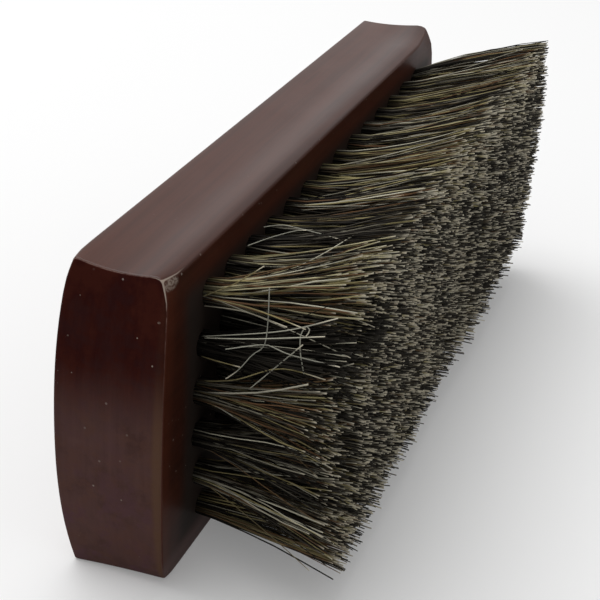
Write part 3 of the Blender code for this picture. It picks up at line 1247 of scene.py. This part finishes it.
class HairTree(GrowthTree):
    """Grows every hair of the tufts from points on their mouths."""

    BAKE_PLACE = "bake_place"
    BAKE_MAP = "OFBake"
    SIDE_STRIP = (0.90, 0.02)  # width and start, across the bake map, of the hairs' sides
    CUT_STRIP = (0.05, 0.94)  # the same of their cut ends
    ROW_STRIP = (0.8, 0.1)  # height and start, within its row, of what a hair uses
    MOST_TONE = 0.93
    BROWN_TONES = (0.525, 0.575)
    WHITE_TONE = 0.955
    GOLDEN_ANGLE = math.pi * (3 - math.sqrt(5))
    JITTER = (0.0, 0.00008, 0.00008)
    TRIM_POWER = 1.4
    TRIM_SPREAD = (0.8, 0.2)  # the part of a tuft's trim that is drawn, and the part that is not
    GIRTH_POWER = 2.0
    GIRTH_SPREAD = (0.85, 0.9)  # drawn and undrawn part of a hair's thickness
    WAVE_TURN = 5.2  # radians of its wave from a hair's mouth to its tip
    WAVES = ((0, -1, -1), (2 * math.pi, 1, 1))  # least and greatest start and swing of a wave
    ANY_WAY = ((-1, -1, -1), (1, 1, 1))
    LOCKS = Noise(1.0, 1.0)
    # Attributes that only the tree itself reads
    PASSING = ("strand_uv", "cut_face", "hair_shift", "hair_mouth", "hair_tip", "hair_wave",
               "tuft_lean", "tuft_turn", "tuft_tone", "tuft_trim", "tuft_grey", "tuft_wander")

    def __init__(self, inputs: dict[str, Any], sides: int, steps: int) -> None:
        """Build the tree.

        Args:
            inputs: a first value for each of its named inputs.
            sides: sides of one hair.
            steps: lengths that a hair is divided into.
        """
        super().__init__("grow_hair", inputs)
        self.sides, self.steps = sides, steps
        self.build()

    def chance(self, draw: Draw, low: Any = 0.0, high: Any = 1.0) -> Socket:
        """Return a random value for each hair: three values where low has three.

        Args:
            draw: what it is for.
            low: least value.
            high: greatest value.

        Returns:
            The socket with the draw.
        """
        seed = self.tree.math("ADD", self.given["Seed"], float(draw.value))
        node = self.tree.add("FunctionNodeRandomValue", {"Min": low, "Max": high, "Seed": seed},
                             data_type="FLOAT_VECTOR" if isinstance(low, tuple) else "FLOAT")
        return self.tree.out(node, "Value")

    def strand(self) -> Socket:
        """Make one straight hair along X from 0 to 1, with its place along stored.

        Returns:
            The hair.
        """
        tree = self.tree
        radius = self.given["Hair Radius"]
        cone = tree.add("GeometryNodeMeshCone", {
            "Vertices": self.sides, "Side Segments": self.steps, "Fill Segments": 1,
            "Radius Top": tree.product(radius, self.given["Taper"]), "Radius Bottom": radius,
            "Depth": 1.0}, fill_type="NGON")
        x, y, z = tree.parts(self.position())
        cut = tree.math("SUBTRACT", 1.0, tree.out(cone, "Side"))
        made = self.store(tree.out(cone, "Mesh"), "along", z)
        made = self.store(made, "strand_uv", tree.out(cone, "UV Map"), "FLOAT_VECTOR", "CORNER")
        made = self.store(made, "cut_face", cut, domain="FACE")
        return tree.add("GeometryNodeSetPosition", {
            "Geometry": made, "Position": tree.joined(z, x, y)}).outputs[0]

    def foot(self, number: Socket) -> Socket:
        """Return where a hair stands in its tuft's mouth, from the middle of it.

        Args:
            number: the hair's number in its tuft.

        Returns:
            The place, on a spiral that fills the mouth evenly, with a little jitter.
        """
        tree = self.tree
        share = tree.math("DIVIDE", tree.math("ADD", number, 0.5), self.given["Hairs per Tuft"])
        radius = tree.product(self.given["Mouth Radius"], tree.math("SQRT", share))
        angle = tree.math("MULTIPLY_ADD", number, self.GOLDEN_ANGLE, self.read("tuft_turn"))
        foot = tree.joined(0.0, tree.product(radius, tree.math("COSINE", angle)),
                           tree.product(radius, tree.math("SINE", angle)))
        jitter = self.chance(Draw.JITTER, *self.ANY_WAY)
        return tree.vector("ADD", foot, tree.vector("MULTIPLY", jitter, self.JITTER))

    def lock(self, place: Socket) -> Socket:
        """Return how far a hair is drawn aside with those beside it.

        Args:
            place: where the hair stands.

        Returns:
            The shift of its tip.
        """
        tree = self.tree
        place = tree.scaled(place, tree.math("DIVIDE", 1.0, self.given["Lock Size"]))
        lock = tree.noise(place, self.LOCKS, "Color")
        lock = tree.vector("SUBTRACT", lock, (0.5, 0.5, 0.5))
        return tree.scaled(lock, tree.product(self.given["Lock Strength"], 2.0))

    def shift(self, foot: Socket, place: Socket, lock: Socket) -> Socket:
        """Return how far a hair's tip stands from straight above its foot.

        Args:
            foot: where the hair stands in its tuft's mouth.
            place: where it stands on the block.
            lock: its shift with the hairs beside it.

        Returns:
            The shift, which keeps the tip between both limits.
        """
        tree = self.tree
        wander = self.chance(Draw.WANDER, *self.ANY_WAY)
        wander = tree.vector("MULTIPLY", wander, tree.vector("ABSOLUTE", wander))
        wander = tree.scaled(wander, self.read("tuft_wander"))
        splay = tree.scaled(foot, tree.math("SUBTRACT", self.given["Spread"], 1.0))
        shift = tree.vector("ADD", splay, tree.vector("ADD", wander, lock))
        shift = tree.vector("ADD", self.read("tuft_lean", "FLOAT_VECTOR"), shift)
        tip = tree.vector("MINIMUM", tree.vector("ADD", place, shift), self.given["High Limit"])
        tip = tree.vector("MAXIMUM", tip, self.given["Low Limit"])
        return tree.vector("SUBTRACT", tip, place)

    def tone(self) -> Socket:
        """Draw each hair's tone.

        Returns:
            The tone, in the middle of its row of the bake map.
        """
        tree, shade = self.tree, self.read("tuft_tone")
        tone = tree.math("ADD", self.chance(Draw.TONE, high=self.MOST_TONE), shade)
        brown = tree.math("LESS_THAN", self.chance(Draw.BROWN), self.given["Brown Share"])
        brown_tone = tree.math("ADD", self.chance(Draw.BROWN_TONE, *self.BROWN_TONES),
                               tree.math("MINIMUM", shade, 0.0))
        tone = tree.math("MAXIMUM", tree.between(brown, tone, brown_tone), 0.0)
        tone = tree.math("MINIMUM", tone, self.MOST_TONE)
        white = tree.math("LESS_THAN", self.chance(Draw.WHITE), self.given["White Share"])
        tone = tree.math("MAXIMUM", tone, tree.product(white, self.WHITE_TONE))
        pair = tree.math("FLOOR", tree.product(tone, TONE_ROWS / 2))
        grey = tree.math("LESS_THAN", self.chance(Draw.GREY), self.read("tuft_grey"))
        row = tree.math("MULTIPLY_ADD", pair, 2.0, grey)
        return tree.math("DIVIDE", tree.math("ADD", row, 0.5), float(TONE_ROWS))

    def tip(self, shift: Socket, lock: Socket) -> Socket:
        """Return the X at which a hair is trimmed.

        Args:
            shift: how far its tip leans aside, which lowers it.
            lock: its shift with the hairs beside it, which are trimmed alike.

        Returns:
            The X, which High Limit's own X caps before the trim is taken off.
        """
        tree = self.tree
        trim = tree.math("POWER", self.chance(Draw.TRIM), self.TRIM_POWER)
        trim = tree.product(tree.math("MULTIPLY_ADD", trim, *self.TRIM_SPREAD),
                            self.read("tuft_trim"))
        trim = tree.math("MULTIPLY_ADD", tree.math("ABSOLUTE", tree.parts(lock)[0]),
                         self.given["Lock Trim"], trim)
        leaned = tree.add("ShaderNodeVectorMath", {0: shift, 1: shift}, operation="DOT_PRODUCT")
        loss = tree.product(tree.out(leaned, "Value"), self.given["Lean Loss"])
        reach = tree.math("MINIMUM", tree.math("SUBTRACT", self.given["Tip X"], loss),
                          tree.parts(self.given["High Limit"])[0])
        return tree.math("SUBTRACT", reach, trim)

    def feet(self) -> Socket:
        """Spread the hairs over the mouths of their tufts.

        Returns:
            One point for each hair, which carries all its values.
        """
        tree = self.tree
        copies = tree.add("GeometryNodeDuplicateElements", {
            "Geometry": self.given["Geometry"], "Amount": self.given["Hairs per Tuft"]},
            domain="POINT")
        foot = self.foot(tree.out(copies, "Duplicate Index"))
        place = tree.vector("ADD", self.position(), foot)
        lock = self.lock(place)
        shift = self.shift(foot, place, lock)
        wave = self.chance(Draw.WAVE, *self.WAVES)
        made = self.store(copies.outputs[0], "hair_shift", shift, "FLOAT_VECTOR")
        made = self.store(made, "hair_tone", self.tone())
        made = self.store(made, "hair_mouth", tree.parts(self.position())[0])
        made = self.store(made, "hair_tip", self.tip(shift, lock))
        made = self.store(made, "hair_wave", wave, "FLOAT_VECTOR")
        return tree.add("GeometryNodeSetPosition", {
            "Geometry": made, "Offset": foot}).outputs[0]

    def lay(self, hairs: Socket) -> Socket:
        """Return the hairs bent from their feet to their tips.

        Args:
            hairs: straight hairs, each at its foot.

        Returns:
            The bent hairs.
        """
        tree = self.tree
        _, y, z = tree.parts(self.position())
        mouth, tip, along = (self.read(name) for name in ("hair_mouth", "hair_tip", "along"))
        foot = tree.math("SUBTRACT", mouth, self.given["Root Depth"])
        reach = tree.between(along, foot, tip)
        free = tree.math("DIVIDE", tree.math("SUBTRACT", reach, mouth),
                         tree.math("SUBTRACT", tip, mouth), limit=True)
        bent = tree.math("POWER", free, self.given["Bend Power"])
        phase, *waves = tree.parts(self.read("hair_wave", "FLOAT_VECTOR"))
        swing = tree.math("SINE", tree.math("MULTIPLY_ADD", free, self.WAVE_TURN, phase))
        swing = tree.product(swing, free, self.given["Wave"])
        _, *shifts = tree.parts(self.read("hair_shift", "FLOAT_VECTOR"))
        moved = [tree.math("MULTIPLY_ADD", swing, wave,
                           tree.math("MULTIPLY_ADD", shift, bent, start))
                 for start, shift, wave in zip((y, z), shifts, waves)]
        return tree.add("GeometryNodeSetPosition", {
            "Geometry": hairs, "Position": tree.joined(reach, *moved)}).outputs[0]

    def bake_map(self, hairs: Socket) -> Socket:
        """Return hairs with a bake map: one row of it for each tone, and along the hair across.

        All hairs of one tone share their row, and the finish is a function of both.

        Args:
            hairs: the bent hairs.

        Returns:
            The hairs with the map's places stored on them.
        """
        tree = self.tree
        around, up, _ = tree.parts(self.read("strand_uv", "FLOAT_VECTOR"))
        cut = self.read("cut_face")
        across = tree.between(cut, tree.math("MULTIPLY_ADD", self.read("along"), *self.SIDE_STRIP),
                              tree.math("MULTIPLY_ADD", around, *self.CUT_STRIP))
        row = tree.math("FLOOR", tree.product(self.read("hair_tone"), float(TONE_ROWS)))
        inside = tree.math("MULTIPLY_ADD", tree.between(cut, around, up), *self.ROW_STRIP)
        down = tree.math("DIVIDE", tree.math("ADD", row, inside), float(TONE_ROWS))
        return self.store(hairs, self.BAKE_PLACE, tree.joined(across, down, 0.0),
                          "FLOAT_VECTOR", "CORNER")

    def keep_bake_map(self, mesh: bpy.types.Mesh) -> None:
        """Turn the bake places that the tree stored on a settled mesh into its UV map.

        Args:
            mesh: the settled mesh.
        """
        stored = mesh.attributes[self.BAKE_PLACE]
        places = np.empty(len(mesh.loops) * 3, np.float32)
        stored.data.foreach_get("vector", places)
        flat = places.reshape(-1, 3)[:, :2].ravel()
        mesh.attributes.remove(stored)
        mesh.uv_layers.new(name=self.BAKE_MAP).uv.foreach_set("vector", flat)

    def build(self) -> None:
        """Join the tree's stages, and end in plain geometry with its finish."""
        tree = self.tree
        girth = tree.math("POWER", self.chance(Draw.GIRTH), self.GIRTH_POWER)
        girth = tree.math("MULTIPLY_ADD", girth, *self.GIRTH_SPREAD)
        planted = tree.add("GeometryNodeInstanceOnPoints", {
            "Points": self.feet(), "Instance": self.strand(),
            "Scale": tree.joined(1.0, girth, girth)})
        plain = tree.add("GeometryNodeRealizeInstances", {"Geometry": planted.outputs[0]})
        hairs = self.bake_map(self.lay(plain.outputs[0]))
        round_side = tree.math("LESS_THAN", self.read("cut_face"), 0.5)
        hairs = tree.add("GeometryNodeSetShadeSmooth", {
            "Geometry": hairs, "Shade Smooth": round_side}).outputs[0]
        for name in self.PASSING:
            hairs = tree.add("GeometryNodeRemoveAttribute", {
                "Geometry": hairs, "Name": name}).outputs[0]
        self.finish(hairs)


@dataclass
class HairField:
    """All tufts: a cross row of six to each piece, each tuft with its own lean, tone and trim.

    Columns count from the near end, and the numbers for rows from the bottom.
    """

    shape: BlockShape
    pattern: TuftPattern
    finish: bpy.types.Material
    hairs_per_tuft: int = 225
    mouth_radius: float = 0.00182
    hair_radius: float = 0.000095
    hair_taper: float = 0.86
    hair_sides: int = 4
    hair_steps: int = 5
    root_depth: float = 0.0020
    row_rises: tuple[float, ...] = (0.0034, 0.0046, 0.0049, 0.0049, 0.0045, 0.0037)
    near_drops: tuple[float, ...] = (0.0015, 0.0024, 0.0003, 0.0, 0.0, 0.0)
    near_drop_power: float = 2.5
    far_rise: float = 0.0018
    far_rise_power: int = 3
    middle_lean: float = 0.0045
    end_lean: float = 0.0085
    lean_power: float = 1.7
    near_extra: tuple[float, ...] = (0.0020, -0.0008, 0.0004, -0.0022, 0.0015, 0.0070)
    near_fade: float = 5.0
    lean_loss: float = 12.0  # metres of height lost for each square metre of lean
    low_limit: Triple = (-1.0, -0.0655, 0.0042)
    high_limit: Triple = (0.0218, 0.0707, 0.0527)
    near_shades: tuple[Shade, ...] = (
        Shade.MIXED, Shade.DUSKY, Shade.DARK, Shade.MIXED, Shade.BLACK)
    second_shades: tuple[Shade, ...] = (
        Shade.DARK, Shade.DUSKY, Shade.DARK, Shade.MIXED, Shade.BLACK)
    top_shades: tuple[Shade, ...] = (
        Shade.STRAW, Shade.TAN, Shade.DARK, Shade.MIXED, Shade.MIXED, Shade.TAN, Shade.STRAW,
        Shade.STRAW, Shade.TAN, Shade.MIXED, Shade.MIXED, Shade.TAN, Shade.TAN, Shade.MIXED)
    # inner tufts darker: partly more dark hair, partly painted shade over the field of tips
    inner_tone_and_painted_shade: float = -0.10
    far_tone: float = -0.05
    tone_swing: float = 0.05
    tone_waves: tuple[tuple[float, float], ...] = ((2.4, 1.7), (0.9, -2.9))
    grey_share: float = 0.5
    grey_per_tone: float = 2.0
    grey_limits: tuple[float, float] = (0.15, 0.95)
    near_warm: float = 0.22  # share of the near tufts' hairs that is straw in place of grey
    near_trims: tuple[float, ...] = (0.0014, 0.0022, 0.0036, 0.0044, 0.0046, 0.0056)
    top_trim: float = 0.0028
    inner_trim: float = 0.0012
    tip_reaches: tuple[float, ...] = (
        0.0009, 0.0011, 0.0011, 0.0010, 0.0008, 0.0004, 0.0002, 0.0002, 0.0005, 0.0009, 0.0011,
        0.0011, 0.0010, 0.0008)
    white_share: float = 0.025
    brown_share: float = 0.06
    near_brown: float = 0.10
    spread: float = 2.40  # a tuft's width at its tips, where 1 is its width at the mouth
    wander: float = 0.0042
    near_wanders: tuple[float, ...] = (0.0019, 0.0052, 0.0054, 0.0054, 0.0054, 0.0054)
    lock_size: float = 0.0011
    lock_strength: float = 0.0024
    lock_trim: float = 1.0
    wave: float = 0.00065
    bend_power: float = 1.20
    far_bend_drop: float = 0.55
    far_bend_power: int = 4
    turn_steps: tuple[float, float] = (0.7, 1.3)  # from column to column and from row to row
    seed_step: int = 20  # keeps the draws of two cross rows apart

    def lean(self, column: int, row: int) -> Vector:
        """Return how far the tips of one tuft stand from straight above its mouth.

        Args:
            column: the tuft's cross row.
            row: its place in the cross row.

        Returns:
            The shift, which has no X.
        """
        along = self.pattern.along(column)
        bow = math.copysign(abs(along) ** self.lean_power, along)
        lean_y = self.middle_lean + self.end_lean * bow
        lean_y += self.near_extra[row] * max(0.0, -along) ** self.near_fade
        rise = self.row_rises[row] + self.far_rise * max(0.0, along) ** self.far_rise_power
        rise -= self.near_drops[row] * max(0.0, -along) ** self.near_drop_power
        return Vector((0.0, lean_y, rise))

    def tip_x(self, column: int) -> float:
        """Return how high one cross row's hairs would end, if they stood upright."""
        lean = self.lean(column, self.pattern.rows // 2).length
        return self.shape.tip_x + self.tip_reaches[column] + self.lean_loss * lean ** 2

    def bend(self, column: int) -> float:
        """Return how late along its hairs one cross row leans over."""
        far = max(0.0, self.pattern.along(column))
        return self.bend_power - self.far_bend_drop * far ** self.far_bend_power

    def tone(self, column: int, row: int) -> float:
        """Return how much lighter or darker than an even mixture one tuft is.

        Args:
            column: the tuft's cross row.
            row: its place in the cross row.

        Returns:
            The shift of its hairs' tones.
        """
        if row == self.pattern.rows - 1:
            return self.top_shades[column].value
        if column < 2:
            return (self.near_shades, self.second_shades)[column][row].value
        swing = sum(math.sin(column * a + row * b) for a, b in self.tone_waves)
        far = max(0.0, self.pattern.along(column))
        return self.inner_tone_and_painted_shade + self.tone_swing * swing + self.far_tone * far

    def grey(self, column: int, row: int) -> float:
        """Return the share of one tuft's hairs that are grey and not straw."""
        share = self.grey_share - (self.near_warm if column == 0 else 0.0)
        return clamp(share - self.grey_per_tone * self.tone(column, row), *self.grey_limits)

    def trim(self, column: int, row: int) -> float:
        """Return how much shorter than the rest the shortest hair of one tuft is.

        Args:
            column: the tuft's cross row.
            row: its place in the cross row.

        Returns:
            The length cut off.
        """
        if column == 0:
            return self.near_trims[row]
        return self.top_trim if row == self.pattern.rows - 1 else self.inner_trim

    def own_way(self, column: int, row: int) -> float:
        """Return how far the hairs of one tuft go their own way at most."""
        return self.near_wanders[row] if column == 0 else self.wander

    def turn(self, column: int, row: int) -> float:
        """Return how far round its own axis one tuft's pattern of hairs is turned."""
        return self.turn_steps[1] * row + self.turn_steps[0] * column

    def seeds(self, column: int) -> bpy.types.Mesh:
        """Return one cross row's tuft mouths as points that carry each tuft's own values.

        Args:
            column: the cross row.

        Returns:
            The points.
        """
        rows = range(self.pattern.rows)
        mesh = bpy.data.meshes.new("mouths")
        mesh.from_pydata([self.pattern.mouth(column, row) for row in rows], [], [])
        leans = [part for row in rows for part in self.lean(column, row)]
        mesh.attributes.new("tuft_lean", "FLOAT_VECTOR", "POINT").data.foreach_set("vector", leans)
        for name, value in (("tuft_tone", self.tone), ("tuft_grey", self.grey),
                            ("tuft_trim", self.trim), ("tuft_turn", self.turn),
                            ("tuft_wander", self.own_way)):
            values = [value(column, row) for row in rows]
            mesh.attributes.new(name, "FLOAT", "POINT").data.foreach_set("value", values)
        return mesh

    def inputs(self, column: int) -> dict[str, Any]:
        """Return the tree's inputs for one cross row.

        Args:
            column: the cross row.

        Returns:
            The value of each input.
        """
        return {
            "Hairs per Tuft": self.hairs_per_tuft,
            "Mouth Radius": self.mouth_radius,
            "Hair Radius": self.hair_radius,
            "Taper": self.hair_taper,
            "Root Depth": self.root_depth,
            "Tip X": self.tip_x(column),
            "White Share": self.white_share,
            "Brown Share": self.brown_share + self.near_brown * (column == 0),
            "Lean Loss": self.lean_loss,
            "Spread": self.spread,
            "Bend Power": self.bend(column),
            "Wave": self.wave,
            "Lock Size": self.lock_size,
            "Lock Strength": self.lock_strength,
            "Lock Trim": self.lock_trim,
            "Low Limit": self.low_limit,
            "High Limit": self.high_limit,
            "Seed": self.seed_step * column,
            "Finish": self.finish,
        }

    def build(self) -> list[bpy.types.Object]:
        """Grow, settle and place the hair of every cross row.

        Returns:
            The finished pieces.
        """
        tree = HairTree(self.inputs(0), self.hair_sides, self.hair_steps)
        pieces = []
        for column in range(self.pattern.columns):
            piece = scene_object(f"tuft_hair_{column + 1:02d}", self.seeds(column))
            tree.apply(piece, self.inputs(column))
            tree.keep_bake_map(piece.data)
            place_piece(piece, f"tuft_row_{column + 1:02d}")
            pieces.append(piece)
        return pieces


class Stray(NamedTuple):
    """One hair that lies across the others: its tone and its way, in millimetres."""

    tone: float
    way: tuple[Triple, ...]


class StrayTree(GrowthTree):
    """Turns polylines into smooth thin hairs."""

    ALONG = Fade(0.0, 1.0, 0.35, 1.0)  # a stray shows only the outer part of a hair

    def __init__(self, inputs: dict[str, Any]) -> None:
        """Build the tree.

        Args:
            inputs: a first value for each of its named inputs.
        """
        super().__init__("lay_strays", inputs)
        tree = self.tree
        curve = tree.add("GeometryNodeMeshToCurve", {"Mesh": self.given["Geometry"]})
        smooth = tree.add("GeometryNodeCurveSplineType", {"Curve": curve.outputs[0]},
                          spline_type="CATMULL_ROM")
        even = tree.add("GeometryNodeResampleCurve", {
            "Curve": smooth.outputs[0], "Count": self.given["Points"]})
        along = tree.add("GeometryNodeSplineParameter").outputs["Factor"]
        marked = self.store(even.outputs[0], "along", tree.faded(along, self.ALONG))
        ring = tree.add("GeometryNodeCurvePrimitiveCircle", {
            "Resolution": self.given["Sides"], "Radius": self.given["Hair Radius"]})
        hairs = tree.add("GeometryNodeCurveToMesh", {
            "Curve": marked, "Profile Curve": ring.outputs[0], "Fill Caps": True})
        self.finish(hairs.outputs[0])


@dataclass
class StrayHairs:
    """The loose hairs, white, silver and straw, that cross the near end and the field's top."""

    UNITS_PER_METRE = 1000  # the strays' ways are in millimetres

    finish: bpy.types.Material
    radius: float = 0.000085
    sides: int = 5
    points: int = 16
    strays: tuple[Stray, ...] = (
        Stray(0.99, ((8.2, -59.4, 51.5), (8.3, -59.5, 45.9), (7.9, -59.4, 42.4),
                     (6.1, -59.0, 40.3), (4.0, -58.6, 37.1), (2.0, -58.2, 34.9))),
        Stray(0.985, ((14.4, -60.7, 40.4), (13.6, -60.5, 43.5), (13.5, -60.5, 46.2),
                      (14.3, -60.7, 47.8), (14.8, -60.8, 47.3), (14.3, -60.7, 46.3))),
        Stray(0.975, ((-4.7, -54.2, 37.9), (5.6, -58.9, 42.7), (17.1, -61.2, 47.2))),
        Stray(0.98, ((-4.7, -54.4, 38.1), (10.3, -59.9, 45.6), (18.8, -61.6, 50.6))),
        Stray(0.985, ((1.8, -58.2, 39.7), (7.6, -59.3, 42.5), (9.5, -59.7, 42.7),
                      (12.4, -60.3, 42.6), (19.7, -61.8, 43.5))),
        Stray(0.985, ((6.1, -59.0, 34.9), (9.4, -59.7, 39.1), (12.5, -60.3, 43.0),
                      (13.9, -60.6, 44.8))),
        Stray(0.98, ((-5.3, -54.1, 28.4), (1.3, -58.1, 29.7), (7.2, -59.3, 28.7),
                     (14.0, -60.6, 29.3))),
        Stray(0.985, ((7.2, -59.3, 28.9), (13.1, -60.4, 28.1), (20.1, -61.8, 26.0))),
        Stray(0.98, ((-4.8, -54.2, 14.0), (7.1, -59.2, 15.7), (16.5, -61.1, 15.4))),
        Stray(0.70, ((-1.9, -54.7, 45.1), (6.2, -59.0, 47.5), (14.2, -60.7, 47.3))),
        Stray(0.68, ((-3.2, -54.5, 43.6), (4.6, -58.7, 46.6), (11.3, -60.1, 46.6))),
        Stray(0.70, ((-4.3, -54.3, 30.7), (3.5, -58.5, 35.3), (10.6, -59.9, 39.8),
                     (17.7, -61.3, 40.7))),
        Stray(0.66, ((-4.9, -54.1, 35.2), (-1.0, -56.5, 36.4), (4.3, -58.7, 37.7))),
        Stray(0.66, ((-3.4, -54.4, 45.1), (1.6, -55.4, 48.7), (6.1, -56.3, 52.9))),
        Stray(0.965, ((7.7, -47.2, 49.1), (9.0, -44.7, 49.4), (10.5, -41.1, 49.8),
                      (12.6, -34.3, 50.3))),
        Stray(0.985, ((-3.2, -32.4, 46.8), (-0.7, -31.2, 47.2), (2.3, -32.3, 47.8),
                      (7.0, -34.8, 48.9), (10.6, -37.1, 49.8))),
        Stray(0.985, ((-2.8, -39.9, 46.9), (-0.4, -36.2, 47.3), (2.5, -33.5, 47.9),
                      (4.0, -33.3, 48.2))),
    )

    def inputs(self) -> dict[str, Any]:
        """Return the tree's inputs."""
        return {"Hair Radius": self.radius, "Sides": self.sides, "Points": self.points,
                "Finish": self.finish}

    def build(self) -> bpy.types.Object:
        """Lay all strays as one piece.

        Returns:
            The finished piece.
        """
        points, edges, tones = [], [], []
        for stray in self.strays:
            first = len(points)
            points += [Vector(point) / self.UNITS_PER_METRE for point in stray.way]
            edges += [(index, index + 1) for index in range(first, len(points) - 1)]
            tones += [stray.tone] * len(stray.way)
        mesh = bpy.data.meshes.new("ways")
        mesh.from_pydata(points, edges, [])
        mesh.attributes.new("hair_tone", "FLOAT", "POINT").data.foreach_set("value", tones)
        piece = scene_object("stray_hairs", mesh)
        StrayTree(self.inputs()).apply(piece, self.inputs())
        piece.data.shade_smooth()
        place_piece(piece, None)
        return piece


@dataclass
class Studio:
    """Pale floor, soft light and the camera at the photograph's viewing angle."""

    WHITE = (1, 1, 1, 1)

    camera_place: Triple = (0.065559, -0.216065, 0.138176)
    right: Triple = (0.93489, 0.34900, 0.06458)
    upward: Triple = (-0.21783, 0.42054, 0.88074)
    backward: Triple = (0.28022, -0.83746, 0.46918)
    lens: float = 84.0
    sensor: float = 36.0
    shift: tuple[float, float] = (-0.0055, 0.00525)
    clip_start: float = 0.01
    world_level: float = 0.45
    softbox_place: Triple = (-0.35, 0.10, 1.0)
    softbox_size: float = 0.9
    softbox_power: float = 8.0
    floor_colour: float = 0.80
    floor_roughness: float = 0.9
    floor_lift: float = 0.17
    floor_half: float = 4.0

    def camera(self) -> None:
        """Set up the camera."""
        data = bpy.data.cameras.new("camera")
        data.sensor_width, data.lens, data.clip_start = self.sensor, self.lens, self.clip_start
        data.shift_x, data.shift_y = self.shift
        item = scene_object("camera", data)
        turn = Matrix((self.right, self.upward, self.backward)).transposed().to_4x4()
        item.matrix_world = Matrix.Translation(self.camera_place) @ turn
        bpy.context.scene.camera = item

    @staticmethod
    def shown(tree: Tree) -> Socket:
        """Tell the rays that show a background from those that only light the object.

        Args:
            tree: the tree that asks.

        Returns:
            1 for a ray from the camera, for its mirror image and for what glass lets through.
        """
        rays = tree.add("ShaderNodeLightPath").outputs
        names = ("Is Camera Ray", "Is Glossy Ray", "Is Transmission Ray")
        return tree.chain("ADD", *(rays[name] for name in names), limit=True)

    def world(self) -> None:
        """Set up the surrounding light."""
        world = bpy.data.worlds.new("studio")
        world.use_nodes = True
        tree = Tree(world.node_tree)
        level = tree.between(self.shown(tree), self.world_level, 1.0)
        back = tree.add("ShaderNodeBackground", {"Color": self.WHITE, "Strength": level})
        tree.add("ShaderNodeOutputWorld", {"Surface": back.outputs[0]})
        bpy.context.scene.world = world

    def softbox(self) -> None:
        """Set up the lamp, which looks at the origin."""
        data = bpy.data.lights.new("softbox", "AREA")
        data.size, data.energy = self.softbox_size, self.softbox_power
        place = Vector(self.softbox_place)
        turn = place.to_track_quat("Z", "Y").to_matrix().to_4x4()
        scene_object("softbox", data).matrix_world = Matrix.Translation(place) @ turn

    def floor(self) -> None:
        """Set up the floor, which shows pale and keeps the object's shadow."""
        mesh = bpy.data.meshes.new("floor")
        half, grey = self.floor_half, self.floor_colour
        corners = [(-half, -half, 0), (half, -half, 0), (half, half, 0), (-half, half, 0)]
        mesh.from_pydata(corners, [], [(0, 1, 2, 3)])
        material, tree = new_material("pale_floor")
        tree.surface({
            "Base Color": (grey, grey, grey, 1), "Roughness": self.floor_roughness,
            "Specular IOR Level": 0.0, "Emission Color": self.WHITE,
            "Emission Strength": tree.product(self.shown(tree), self.floor_lift)})
        mesh.materials.append(material)
        scene_object("floor", mesh)

    def build(self) -> None:
        """Set up everything round the brush."""
        self.camera()
        self.world()
        self.softbox()
        self.floor()
        bpy.context.scene.view_settings.view_transform = "Standard"


def main() -> None:
    """Build the brush and report its pieces."""
    logging.basicConfig(level=logging.INFO, format="%(name)s %(message)s")
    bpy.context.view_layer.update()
    Studio().build()
    shape = BlockShape()
    pattern = TuftPattern(shape)
    WoodBlock(shape, pattern).build(LacqueredWood(shape).make(SharedEffects()))
    hair = MixedHair().make()
    HairField(shape, pattern, hair).build()
    StrayHairs(hair).build()


if __name__ == "__main__":
    main()
